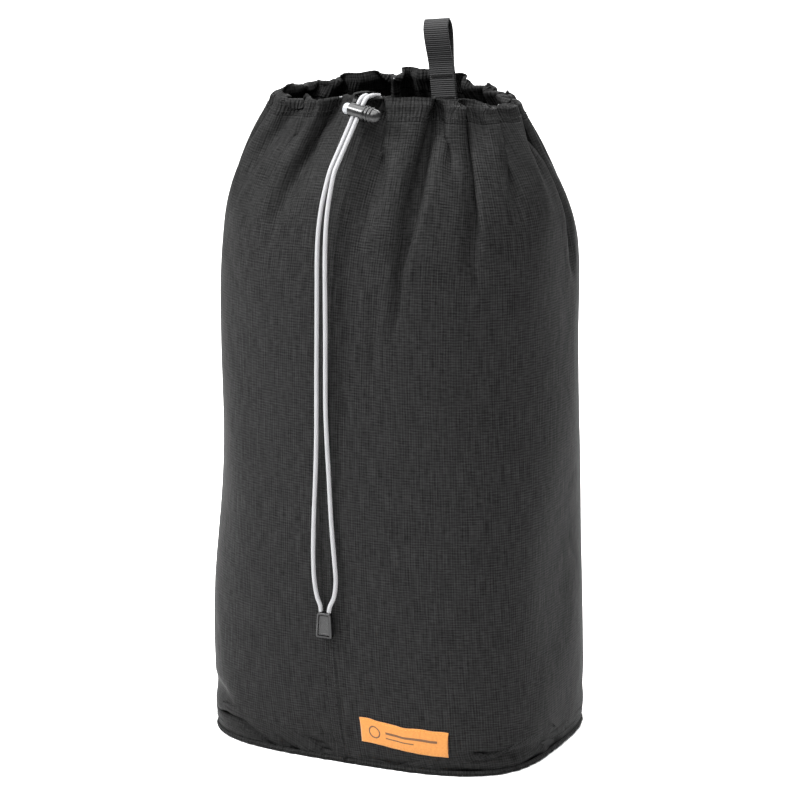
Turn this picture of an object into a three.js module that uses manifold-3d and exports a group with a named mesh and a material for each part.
// Drawstring stuff sack of about 20 litres: one wrapped fabric panel sewn to a
// rounded base, a drawcord in a hemmed mouth, a cord lock, and a haul loop.
// Millimetres, +Z up. The origin is the middle of the base on the floor.
// The front, with its seam and the cords, faces -Y, and +X is its right side.

import * as THREE from 'three';
import { mergeVertices } from 'three/addons/utils/BufferGeometryUtils.js';
import Module from 'manifold-3d';

const wasm = await Module();
wasm.setup();

// ---------------------------------------------------------------- dimensions

const GAP = 0.3; // left between pieces that touch
const FABRIC = 1.6; // wall of the soft shell, with its folds
const BASE_THICKNESS = 2.0;
const HEM_HEIGHT = 482; // where the hem is stitched down
const MOUTH_HEIGHT = 499; // top of the hem

// The sack's outline at a few heights. Each outline is a superellipse with
// half a width, half a depth and a squareness (2 is an ellipse), about its
// own centre. seamX is where the front seam passes.
const STATIONS = [
  { z: 0, halfWidth: 132, halfDepth: 100, square: 3.0, x: 0, y: 0, seamX: 4.5 },
  { z: 12, halfWidth: 133.5, halfDepth: 101.3, square: 2.95, x: 0, y: 0, seamX: 3 },
  { z: 40, halfWidth: 134.5, halfDepth: 102.8, square: 2.8, x: 0, y: 0, seamX: -1 },
  { z: 90, halfWidth: 135.5, halfDepth: 104.5, square: 2.65, x: 0, y: 0, seamX: -9 },
  { z: 150, halfWidth: 136, halfDepth: 105.8, square: 2.5, x: 0, y: 0, seamX: -11 },
  { z: 230, halfWidth: 136, halfDepth: 106.5, square: 2.4, x: 0, y: 0, seamX: -11 },
  { z: 310, halfWidth: 136, halfDepth: 106.3, square: 2.35, x: 0, y: 0, seamX: -10.5 },
  { z: 370, halfWidth: 135.5, halfDepth: 105.2, square: 2.3, x: 0, y: 0, seamX: -10 },
  { z: 405, halfWidth: 132.5, halfDepth: 101, square: 2.25, x: 0, y: -1, seamX: -8 },
  { z: 430, halfWidth: 125, halfDepth: 95.5, square: 2.2, x: 0, y: -1.5, seamX: -4 },
  { z: 450, halfWidth: 115.5, halfDepth: 87.5, square: 2.15, x: 0.5, y: -2.5, seamX: 0 },
  { z: 466, halfWidth: 103.5, halfDepth: 78, square: 2.1, x: 0.5, y: -3.2, seamX: 3 },
  { z: HEM_HEIGHT, halfWidth: 91.5, halfDepth: 68, square: 2.05, x: 0.5, y: -4, seamX: 5.5 },
  { z: 490, halfWidth: 86.5, halfDepth: 63, square: 2, x: 0.5, y: -4, seamX: 6 },
  { z: 500, halfWidth: 83, halfDepth: 60, square: 2, x: 0.5, y: -4, seamX: 6 },
];
const ROUND_STEPS = 56; // facets round the sack

const CHANNEL_DEPTH = 10; // front to back of the cord channel
const CHANNEL_WALL = 1.5;
const CHANNEL_CORD_HEIGHT = 493.4;
const EXIT = { x: 6, halfGap: 9 }; // where the channel is left open for the cords
// A bar of close stitches beside the exit: its heights, and in radians how
// far it lies from the channel's end and half its width.
const BARTACK = { low: 487, high: 497, inset: 0.035, half: 0.012 };

const CORD_DIAMETER = 3.2;
const CORD_SIDES = 8;

// Routes of the two free tails: out of the channel, down through the lock,
// along the shoulder and straight down the front to the cord end.
const TAIL_LEFT = [
  [-2.2, -60.8, 493.4], [1.0, -61.6, 493.6], [3.6, -64.2, 493.8], [4.6, -68.0, 493.9],
  [4.7, -71.6, 493.8], [4.6, -74.9, 493.0], [4.2, -77.4, 490.9], [3.5, -79.1, 487.9],
  [2.7, -80.8, 484.6], [0.8, -85.4, 476.4], [-1.1, -89.9, 468.2], [-3.1, -94.5, 459.9],
  [-5.1, -99.1, 451.7], [-6.5, -102.6, 445.4], [-8.5, -106.0, 434], [-10.7, -108.6, 420],
  [-12.4, -110.4, 404], [-13.3, -111.2, 386], [-13.6, -111.4, 362], [-13.9, -111.4, 330],
  [-14.3, -111.4, 300], [-14.6, -111.3, 270], [-15.0, -111.2, 245], [-15.9, -111.0, 222],
  [-17.0, -110.8, 200], [-18.0, -110.6, 178], [-18.4, -110.3, 156], [-17.6, -110.1, 140],
  [-15.3, -110.0, 128], [-12.9, -110.0, 121.5], [-12.6, -110.0, 117.8],
];
const TAIL_RIGHT = [
  [14.2, -60.8, 493.4], [11.0, -61.6, 493.6], [8.8, -64.2, 493.8], [8.2, -68.0, 493.8],
  [8.2, -71.8, 493.6], [8.1, -75.2, 492.5], [7.7, -77.7, 490.1], [7.0, -79.4, 487.0],
  [6.3, -81.2, 484.0], [4.4, -85.7, 475.8], [2.5, -90.3, 467.6], [0.5, -94.9, 459.3],
  [-1.5, -99.4, 451.1], [-2.9, -102.9, 444.8], [-4.3, -106.1, 434], [-5.7, -108.6, 420],
  [-6.7, -110.4, 404], [-7.1, -111.2, 386], [-7.2, -111.4, 362], [-7.1, -111.4, 330],
  [-7.3, -111.4, 300], [-7.3, -111.3, 270], [-6.4, -111.2, 245], [-5.2, -111.0, 222],
  [-4.2, -110.8, 200], [-2.9, -110.6, 178], [-1.2, -110.3, 156], [-0.4, -110.1, 142],
  [-2.3, -110.0, 129], [-5.6, -110.0, 121.5], [-6.2, -110.0, 117.8],
];
const TAIL_STEPS = 56;

// The cord lock. Its own x runs along the barrel, from the plunger to the
// domed end, and its own z runs up the cords.
const LOCK_CENTRE = new THREE.Vector3(4.5, -81, 484.3);
const LOCK_SLIDE = new THREE.Vector3(-0.2, -0.475, -0.857).normalize();
const BARREL = { radius: 5.1, rib: 5.8, bore: 4.3, mouth: -6.2, boreEnd: 16.4, dome: 19.4 };
const GRIP_RIBS = [5.6, 8.4, 11.2]; // where each of the barrel's ribs starts
const PLUNGER = { radius: 4.0, tip: -11.4, inner: 5.6, travel: 2.5 };
const CORD_HOLE = { halfLength: 4.0, halfHeight: 2.3 };
const SPRING = { radius: 3.2, wire: 0.7, turns: 6 };

// The moulded cord end: a flat tapered clip with a lid let into its front.
const CORD_END = { x: -9.4, y: -110, bottom: 98.6, top: 117.5, topWidth: 11, lowWidth: 13, depth: 4.8 };
const CORD_END_RIM = 1.5;
const CORD_END_RECESS = 1.6;

const WEBBING = { width: 20, thickness: 1.4 };
const LOOP = { x: 15, y: 41.5, root: 498.6, height: 38.5, lean: 0.11 };
const LEG_START = 0.3; // the legs start this far above the loop's root
const ANCHOR = { bottom: -24, top: -2.7 }; // heights from the loop's root

const LABEL = { left: 16.5, right: 84, bottomLeft: 19.8, drop: 4.5, height: 18.5, thickness: 0.7 };
const FELL = { width: 9, thickness: 0.7, bottom: 9, top: 474, rowShift: 2.8 };
const BASE_ROW_HEIGHT = 8; // the row of stitches that closes the base
const THREAD = 0.5; // how far a row of stitches stands proud
const THREAD_WIDTH = 0.8;

const COLOURS = {
  ripstop: 0x353535,
  webbing: 0x3b3b3b,
  cord: 0xc4c4c6,
  plastic: 0x17181a,
  plunger: 0x8e9092,
  steel: 0xb4b6b8,
  label: 0xe3a55a,
  labelThread: 0xc98f48,
  thread: 0x1c1c1c,
};

// ------------------------------------------------------------------- helpers

const root = new THREE.Group();

function material(colour, roughness, metalness = 0) {
  return new THREE.MeshStandardMaterial({ color: colour, roughness, metalness });
}

function addPart(name, geometry, colour, roughness = 0.85, metalness = 0, parent = root) {
  const mesh = new THREE.Mesh(geometry, material(colour, roughness, metalness));
  mesh.name = name;
  parent.add(mesh);
  return mesh;
}

// The outline's values at a height, straight between two stations.
function sectionAt(z) {
  let i = 1;
  while (i < STATIONS.length - 1 && STATIONS[i].z < z) {
    i += 1;
  }
  const low = STATIONS[i - 1];
  const high = STATIONS[i];
  const t = (z - low.z) / (high.z - low.z);
  const section = {};
  for (const key of Object.keys(low)) {
    section[key] = low[key] + (high[key] - low[key]) * t;
  }
  return section;
}

// The outward direction of a superellipse at a point given from its centre.
function outward(section, x, y) {
  const power = section.square - 1;
  const nx = Math.sign(x) * (Math.abs(x) / section.halfWidth) ** power / section.halfWidth;
  const ny = Math.sign(y) * (Math.abs(y) / section.halfDepth) ** power / section.halfDepth;
  return new THREE.Vector3(nx, ny, 0).normalize();
}

// A point of the sack's surface at an angle round it, standing proud by offset.
function wallPoint(angle, z, offset) {
  const s = sectionAt(z);
  const c = Math.cos(angle);
  const d = Math.sin(angle);
  const sum = Math.abs(c / s.halfWidth) ** s.square + Math.abs(d / s.halfDepth) ** s.square;
  const radius = sum ** (-1 / s.square);
  const normal = outward(s, radius * c, radius * d);
  return new THREE.Vector3(s.x + radius * c, s.y + radius * d, z).addScaledVector(normal, offset);
}

// A point of the sack's front at a given x, standing proud by offset.
function frontPoint(x, z, offset) {
  const s = sectionAt(z);
  const across = x - s.x;
  const depth = s.halfDepth * (1 - Math.abs(across / s.halfWidth) ** s.square) ** (1 / s.square);
  const normal = outward(s, across, -depth);
  return new THREE.Vector3(x, s.y - depth, z).addScaledVector(normal, offset);
}

// The angle round the sack of the front's point at a given x.
function frontAngle(x, z) {
  const s = sectionAt(z);
  const point = frontPoint(x, z, 0);
  return Math.atan2(point.y - s.y, point.x - s.x);
}

function signedVolume(points, faces) {
  let sum = 0;
  const cross = new THREE.Vector3();
  for (const [a, b, c] of faces) {
    sum += points[a].dot(cross.crossVectors(points[b], points[c]));
  }
  return sum;
}

// A closed body from points and triangles, turned so that its faces point out.
function solid(points, faces) {
  const flip = signedVolume(points, faces) < 0;
  const geometry = new THREE.BufferGeometry();
  const index = faces.flatMap(([a, b, c]) => (flip ? [a, c, b] : [a, b, c]));
  geometry.setAttribute(
    'position',
    new THREE.Float32BufferAttribute(points.flatMap((p) => [p.x, p.y, p.z]), 3),
  );
  geometry.setIndex(index);
  return geometry;
}

// Joins rings of equal length into a tube. A closed run ends on its first
// ring, and an open run gets a flat cap at each end. Where hollow is set,
// the first half of each ring is its outside and the rest is its bore.
function loft(rings, { closed = false, hollow = false } = {}) {
  const count = rings[0].length;
  const points = rings.flat();
  const faces = [];
  const runs = closed ? rings.length : rings.length - 1;
  const half = hollow ? count / 2 : count;
  for (let i = 0; i < runs; i += 1) {
    const next = (i + 1) % rings.length;
    for (let start = 0; start < count; start += half) {
      for (let j = 0; j < half; j += 1) {
        const a = start + j;
        const b = start + (j + 1) % half;
        const corners = [i * count + a, i * count + b, next * count + b, next * count + a];
        const order = start === 0 ? corners : corners.toReversed();
        faces.push([order[0], order[1], order[2]], [order[0], order[2], order[3]]);
      }
    }
  }
  if (closed) {
    return solid(points, faces);
  }
  const last = (rings.length - 1) * count;
  for (let j = 0; j < half; j += 1) {
    const k = (j + 1) % half;
    if (hollow) {
      faces.push([j, half + j, half + k], [j, half + k, k]);
      faces.push([last + j, last + half + k, last + half + j], [last + j, last + k, last + half + k]);
    } else if (j > 0 && j < half - 1) {
      faces.push([0, k, j], [last, last + j, last + k]);
    }
  }
  return solid(points, faces);
}

// A ring round the sack: a profile of [offset, height] points swept by angle.
function band(profile, { from = 0, to = 2 * Math.PI, closed = true, hollow = false } = {}) {
  const steps = closed ? ROUND_STEPS : ROUND_STEPS + 1;
  const rings = [];
  for (let i = 0; i < steps; i += 1) {
    const angle = from + (to - from) * (i / ROUND_STEPS);
    rings.push(profile.map(([offset, z]) => wallPoint(angle, z, offset)));
  }
  return loft(rings, { closed, hollow });
}

// The corners of a rectangle of the band's profile.
function rectangle(inner, outer, low, high) {
  return [[inner, low], [outer, low], [outer, high], [inner, high]];
}

// A flat strip that lies on the front along a path of [x, z] points. It is
// as wide as given across the path's run, which is mainly up the sack.
function frontStrip(path, width, inner, outer) {
  const rings = path.map(([x, z]) => [
    frontPoint(x - width / 2, z, inner),
    frontPoint(x + width / 2, z, inner),
    frontPoint(x + width / 2, z, outer),
    frontPoint(x - width / 2, z, outer),
  ]);
  return loft(rings);
}

// A round rod along a smooth curve.
function rod(curve, diameter, steps, sides = CORD_SIDES) {
  const section = new THREE.Shape();
  for (let i = 0; i < sides; i += 1) {
    const angle = 2 * Math.PI * (i + 0.5) / sides;
    const x = diameter / 2 * Math.cos(angle);
    const y = diameter / 2 * Math.sin(angle);
    if (i === 0) {
      section.moveTo(x, y);
    } else {
      section.lineTo(x, y);
    }
  }
  section.closePath();
  const geometry = new THREE.ExtrudeGeometry(section, { steps, extrudePath: curve, bevelEnabled: false });
  return welded(geometry);
}

function welded(geometry) {
  const bare = geometry.index ? geometry.toNonIndexed() : geometry.clone();
  bare.deleteAttribute('normal');
  bare.deleteAttribute('uv');
  return mergeVertices(bare, 1e-3);
}

function routeCurve(route) {
  return new THREE.CatmullRomCurve3(route.map((p) => new THREE.Vector3(...p)), false, 'centripetal');
}

// A geometry as a manifold solid, and back.
function toManifold(geometry) {
  const merged = welded(geometry);
  return new wasm.Manifold(new wasm.Mesh({
    numProp: 3,
    vertProperties: new Float32Array(merged.attributes.position.array),
    triVerts: new Uint32Array(merged.index.array),
  }));
}

function fromManifold(body) {
  const mesh = body.getMesh();
  const geometry = new THREE.BufferGeometry();
  geometry.setAttribute('position', new THREE.BufferAttribute(new Float32Array(mesh.vertProperties), 3));
  geometry.setIndex(new THREE.BufferAttribute(new Uint32Array(mesh.triVerts), 1));
  return geometry;
}

// ------------------------------------------------------- the sewn fabric body

const wallStations = STATIONS.filter((s) => s.z <= HEM_HEIGHT);
const wallHeights = wallStations.map((s) => Math.max(s.z, BASE_THICKNESS + GAP));
const wallProfile = [
  ...wallHeights.map((z) => [0, z]),
  ...wallHeights.toReversed().map((z) => [-FABRIC, z]),
];
addPart('body_wrap', band(wallProfile), COLOURS.ripstop);

function basePanel() {
  const shape = new THREE.Shape();
  for (let i = 0; i < ROUND_STEPS; i += 1) {
    const point = wallPoint(2 * Math.PI * i / ROUND_STEPS, 0, 0);
    if (i === 0) {
      shape.moveTo(point.x, point.y);
    } else {
      shape.lineTo(point.x, point.y);
    }
  }
  shape.closePath();
  return welded(new THREE.ExtrudeGeometry(shape, { depth: BASE_THICKNESS, bevelEnabled: false }));
}
addPart('base_panel', basePanel(), COLOURS.ripstop);

// The seam allowances of the base are turned down into a welt outside, and
// bound with a folded tape inside.
addPart('base_seam_welt', band(rectangle(GAP, 2.2, 0.5, 4.6)), COLOURS.ripstop);
addPart(
  'base_seam_binding',
  band(rectangle(-FABRIC - GAP - 2, -FABRIC - GAP, BASE_THICKNESS + GAP, 12)),
  COLOURS.webbing,
);
addPart('base_seam_stitching', band(rectangle(
  GAP, GAP + THREAD,
  BASE_ROW_HEIGHT - THREAD_WIDTH / 2, BASE_ROW_HEIGHT + THREAD_WIDTH / 2,
)), COLOURS.thread);

// The front seam is felled flat and sewn down with two rows of stitches,
// which start a little above the row that closes the base.
function seamPath(bottom, shift) {
  const above = wallStations.filter((s) => s.z > bottom);
  const points = [{ z: bottom, seamX: sectionAt(bottom).seamX }, ...above];
  return points.map((s) => [s.seamX + shift, Math.min(s.z, FELL.top)]);
}
const fellTop = GAP + FELL.thickness;
addPart('front_seam_fell', frontStrip(seamPath(FELL.bottom, 0), FELL.width, GAP, fellTop), COLOURS.ripstop);
for (const [side, shift] of [['left', -FELL.rowShift], ['right', FELL.rowShift]]) {
  const row = frontStrip(seamPath(FELL.bottom + 1, shift), THREAD_WIDTH, fellTop + GAP, fellTop + GAP + THREAD);
  addPart(`front_seam_stitching_${side}`, row, COLOURS.thread);
}

// ---------------------------------------------------- the mouth and its cords

// The hem is folded in to make a tunnel, open only at the front.
const hemLow = HEM_HEIGHT + GAP;
const hemBend = STATIONS.find((s) => s.z > HEM_HEIGHT).z;
// A rectangle of the profile whose two sides bend where the outline does.
function hemSection(inset) {
  const [low, high] = [hemLow + inset, MOUTH_HEIGHT - inset];
  const [inner, outer] = [-CHANNEL_DEPTH + inset, -inset];
  return [[inner, low], [outer, low], [outer, hemBend], [outer, high], [inner, high], [inner, hemBend]];
}
const channelProfile = [...hemSection(0), ...hemSection(CHANNEL_WALL)];
const openRun = {
  from: frontAngle(EXIT.x + EXIT.halfGap, CHANNEL_CORD_HEIGHT),
  to: frontAngle(EXIT.x - EXIT.halfGap, CHANNEL_CORD_HEIGHT) + 2 * Math.PI,
  closed: false,
};
addPart('drawcord_channel', band(channelProfile, { ...openRun, hollow: true }), COLOURS.ripstop);
addPart(
  'channel_stitching',
  band(rectangle(GAP, GAP + THREAD, hemLow + 1.2, hemLow + 1.2 + THREAD_WIDTH), openRun),
  COLOURS.thread,
);

function channelCord() {
  const points = [];
  for (let i = 0; i <= ROUND_STEPS; i += 1) {
    const angle = openRun.from + (openRun.to - openRun.from) * (i / ROUND_STEPS);
    points.push(wallPoint(angle, CHANNEL_CORD_HEIGHT, -CHANNEL_DEPTH / 2));
  }
  return rod(new THREE.CatmullRomCurve3(points, false, 'centripetal'), CORD_DIAMETER, ROUND_STEPS);
}
addPart('drawcord_in_channel', channelCord(), COLOURS.cord, 0.75);
addPart('drawcord_tail_left', rod(routeCurve(TAIL_LEFT), CORD_DIAMETER, TAIL_STEPS), COLOURS.cord, 0.75);
addPart('drawcord_tail_right', rod(routeCurve(TAIL_RIGHT), CORD_DIAMETER, TAIL_STEPS), COLOURS.cord, 0.75);

// A bartack stops the channel tearing on each side of the exit.
for (const [side, angle] of [['left', openRun.to - BARTACK.inset], ['right', openRun.from + BARTACK.inset]]) {
  const rings = [angle - BARTACK.half, angle + BARTACK.half].map((a) => [
    wallPoint(a, BARTACK.low, GAP),
    wallPoint(a, BARTACK.low, GAP + THREAD),
    wallPoint(a, BARTACK.high, GAP + THREAD),
    wallPoint(a, BARTACK.high, GAP),
  ]);
  addPart(`cord_exit_bartack_${side}`, loft(rings), COLOURS.thread);
}

// --------------------------------------------------------------- the cord lock

const lock = new THREE.Group();
const lockUp = LOCK_SLIDE.clone().negate();
const lockAlong = new THREE.Vector3(1, 0, 0).addScaledVector(lockUp, -lockUp.x).normalize();
const lockOut = new THREE.Vector3().crossVectors(lockUp, lockAlong);
lock.matrixAutoUpdate = false;
lock.matrix.makeBasis(lockAlong, lockOut, lockUp).setPosition(LOCK_CENTRE);
root.add(lock);

// A turned body whose axis is the lock's own x. Its profile is [radius, x].
function turned(profile, segments = 24) {
  const points = profile.map(([radius, x]) => new THREE.Vector2(radius, x));
  const geometry = new THREE.LatheGeometry(points, segments);
  geometry.rotateZ(-Math.PI / 2);
  return geometry;
}

// A slot with round ends that runs right through along the lock's own z.
function cordSlot(low, high, halfHeight) {
  const shape = new THREE.Shape();
  const left = low + halfHeight;
  const right = high - halfHeight;
  shape.moveTo(left, -halfHeight);
  shape.lineTo(right, -halfHeight);
  shape.absarc(right, 0, halfHeight, -Math.PI / 2, Math.PI / 2, false);
  shape.lineTo(left, halfHeight);
  shape.absarc(left, 0, halfHeight, Math.PI / 2, 3 * Math.PI / 2, false);
  const geometry = new THREE.ExtrudeGeometry(shape, { depth: 16, bevelEnabled: false, curveSegments: 5 });
  geometry.translate(0, 0, -8);
  return geometry;
}

function cutThrough(body, slot) {
  return fromManifold(toManifold(body).subtract(toManifold(slot)));
}

// The barrel is one profile from the bottom of its bore to the domed end,
// with three raised grip ribs, cut through by the hole for the two cords.
function barrelGeometry() {
  const profile = [
    [0, BARREL.boreEnd],
    [BARREL.bore, BARREL.boreEnd],
    [BARREL.bore, BARREL.mouth],
    [BARREL.radius - 0.4, BARREL.mouth],
    [BARREL.radius, BARREL.mouth + 0.4],
  ];
  for (const start of GRIP_RIBS) {
    profile.push([BARREL.radius, start], [BARREL.rib, start + 0.4]);
    profile.push([BARREL.rib, start + 1.4], [BARREL.radius, start + 1.8]);
  }
  profile.push([BARREL.radius, 15], [BARREL.radius * 0.9, 17.4]);
  profile.push([BARREL.radius * 0.6, 18.8], [0, BARREL.dome]);
  const hole = cordSlot(-CORD_HOLE.halfLength, CORD_HOLE.halfLength, CORD_HOLE.halfHeight);
  return cutThrough(turned(profile), hole);
}
addPart('cord_lock_barrel', barrelGeometry(), COLOURS.plastic, 0.45, 0, lock);

// The plunger's slot is longer than the barrel's hole by its travel.
function plungerGeometry() {
  const profile = [
    [0, PLUNGER.tip],
    [PLUNGER.radius * 0.7, PLUNGER.tip + 0.3],
    [PLUNGER.radius, PLUNGER.tip + 1.4],
    [PLUNGER.radius, PLUNGER.inner],
    [0, PLUNGER.inner],
  ];
  const low = -CORD_HOLE.halfLength - PLUNGER.travel;
  return cutThrough(turned(profile), cordSlot(low, CORD_HOLE.halfLength, CORD_HOLE.halfHeight));
}
addPart('cord_lock_plunger', plungerGeometry(), COLOURS.plunger, 0.4, 0, lock);

// A compression spring between the plunger and the bottom of the bore.
function springGeometry() {
  const start = PLUNGER.inner + GAP + SPRING.wire / 2;
  const end = BARREL.boreEnd - GAP - SPRING.wire / 2;
  const perTurn = 10;
  const points = [];
  for (let i = 0; i <= SPRING.turns * perTurn; i += 1) {
    const angle = 2 * Math.PI * i / perTurn;
    const x = start + (end - start) * i / (SPRING.turns * perTurn);
    points.push(new THREE.Vector3(x, SPRING.radius * Math.cos(angle), SPRING.radius * Math.sin(angle)));
  }
  const curve = new THREE.CatmullRomCurve3(points, false, 'centripetal');
  return rod(curve, SPRING.wire, SPRING.turns * perTurn, 6);
}
addPart('cord_lock_spring', springGeometry(), COLOURS.steel, 0.3, 1, lock);

// ---------------------------------------------------------------- the cord end

function trapezoid(inset) {
  const { topWidth, lowWidth, bottom, top } = CORD_END;
  const shape = new THREE.Shape();
  shape.moveTo(-lowWidth / 2 + inset, bottom + inset);
  shape.lineTo(lowWidth / 2 - inset, bottom + inset);
  shape.lineTo(topWidth / 2 - inset, top - inset);
  shape.lineTo(-topWidth / 2 + inset, top - inset);
  shape.closePath();
  return shape;
}

// A tapered slab that stands upright: its depth runs from back to front.
function upright(shape, depth, back) {
  const geometry = new THREE.ExtrudeGeometry(shape, { depth, bevelEnabled: false });
  geometry.rotateX(Math.PI / 2);
  geometry.translate(CORD_END.x, back, 0);
  return geometry;
}

const cordEndBack = CORD_END.y + CORD_END.depth / 2;
const cordEndFront = CORD_END.y - CORD_END.depth / 2;
const cordEndBlock = toManifold(upright(trapezoid(0), CORD_END.depth, cordEndBack));
const recess = toManifold(upright(trapezoid(CORD_END_RIM), CORD_END_RECESS + 1, cordEndFront + CORD_END_RECESS));
addPart('cord_end_body', fromManifold(cordEndBlock.subtract(recess)), COLOURS.plastic, 0.4);
addPart('cord_end_lid', welded(upright(
  trapezoid(CORD_END_RIM + GAP),
  CORD_END_RECESS - GAP - 0.5,
  cordEndFront + CORD_END_RECESS - GAP,
)), COLOURS.plastic, 0.55);

// --------------------------------------------------------------- the haul loop

// The strap seen from the side, from its back leg over the top to its front
// leg, as [depth, height] of the middle of the webbing. The legs lie together
// at the root and part into a narrow eye.
function loopShape() {
  const legGap = (WEBBING.thickness + GAP) / 2;
  const leg = [[legGap, LEG_START], [legGap, 4], [1.7, 10], [3.3, 18], [4.3, 26], [3.9, 32], [2.2, 35.6]];
  const middle = [...leg, [0, LOOP.height - 1], ...leg.toReversed().map(([y, z]) => [-y, z])];
  const curve = new THREE.SplineCurve(middle.map(([y, z]) => new THREE.Vector2(y, z)));
  const samples = 32;
  const outer = [];
  const inner = [];
  for (let i = 0; i <= samples; i += 1) {
    const point = curve.getPoint(i / samples);
    const run = curve.getTangent(i / samples);
    const side = new THREE.Vector2(run.y, -run.x).multiplyScalar(WEBBING.thickness / 2);
    outer.push(point.clone().add(side));
    inner.push(point.clone().sub(side));
  }
  return new THREE.Shape([...outer, ...inner.reverse()]);
}

// Stands a side outline up: depth to y, height to z, and its extrusion to x.
function acrossSack(shape, width) {
  const geometry = new THREE.ExtrudeGeometry(shape, { depth: width, bevelEnabled: false });
  geometry.translate(0, 0, -width / 2);
  geometry.applyMatrix4(new THREE.Matrix4().makeBasis(
    new THREE.Vector3(0, 1, 0),
    new THREE.Vector3(0, 0, 1),
    new THREE.Vector3(1, 0, 0),
  ));
  return welded(geometry);
}

// The loop and its sewn end lean to the left together.
const haul = new THREE.Group();
haul.position.set(LOOP.x, LOOP.y, LOOP.root);
haul.rotation.y = -LOOP.lean;
root.add(haul);
addPart('haul_loop', acrossSack(loopShape(), WEBBING.width), COLOURS.webbing, 0.85, 0, haul);

function block(width, depth, height, y, z) {
  const geometry = new THREE.BoxGeometry(width, depth, height);
  geometry.translate(0, y, z);
  return geometry;
}
const anchorDepth = 2 * WEBBING.thickness + GAP;
const anchorHeight = ANCHOR.top - ANCHOR.bottom;
addPart(
  'haul_loop_anchor',
  block(WEBBING.width, anchorDepth, anchorHeight, 0, (ANCHOR.top + ANCHOR.bottom) / 2),
  COLOURS.webbing, 0.85, 0, haul,
);
for (const [place, z] of [['upper', ANCHOR.top - 2], ['lower', ANCHOR.bottom + 3]]) {
  const y = -anchorDepth / 2 - GAP - THREAD / 2;
  addPart(`haul_loop_bartack_${place}`, block(17, THREAD, 1.6, y, z), COLOURS.thread, 0.8, 0, haul);
}

// ------------------------------------------------------------- the woven label

// A patch on the front between two x, its height falling from left to right.
function frontPatch(left, right, low, high, inner, outer) {
  const steps = 10;
  const rings = [];
  for (let i = 0; i <= steps; i += 1) {
    const x = left + (right - left) * i / steps;
    const fall = LABEL.drop * (x - LABEL.left) / (LABEL.right - LABEL.left);
    const bottom = LABEL.bottomLeft - fall;
    rings.push([
      frontPoint(x, bottom + low, inner),
      frontPoint(x, bottom + low, outer),
      frontPoint(x, bottom + high, outer),
      frontPoint(x, bottom + high, inner),
    ]);
  }
  return loft(rings);
}
addPart(
  'woven_label',
  frontPatch(LABEL.left, LABEL.right, 0, LABEL.height, GAP + 0.2, GAP + 0.2 + LABEL.thickness),
  COLOURS.label, 0.8,
);
const labelTop = 2 * GAP + 0.2 + LABEL.thickness;
for (const [place, low] of [['lower', 1.2], ['upper', LABEL.height - 1.8]]) {
  addPart(
    `label_stitching_${place}`,
    frontPatch(LABEL.left + 1.5, LABEL.right - 1.5, low, low + 0.6, labelTop, labelTop + THREAD),
    COLOURS.labelThread, 0.8,
  );
}

export default root;
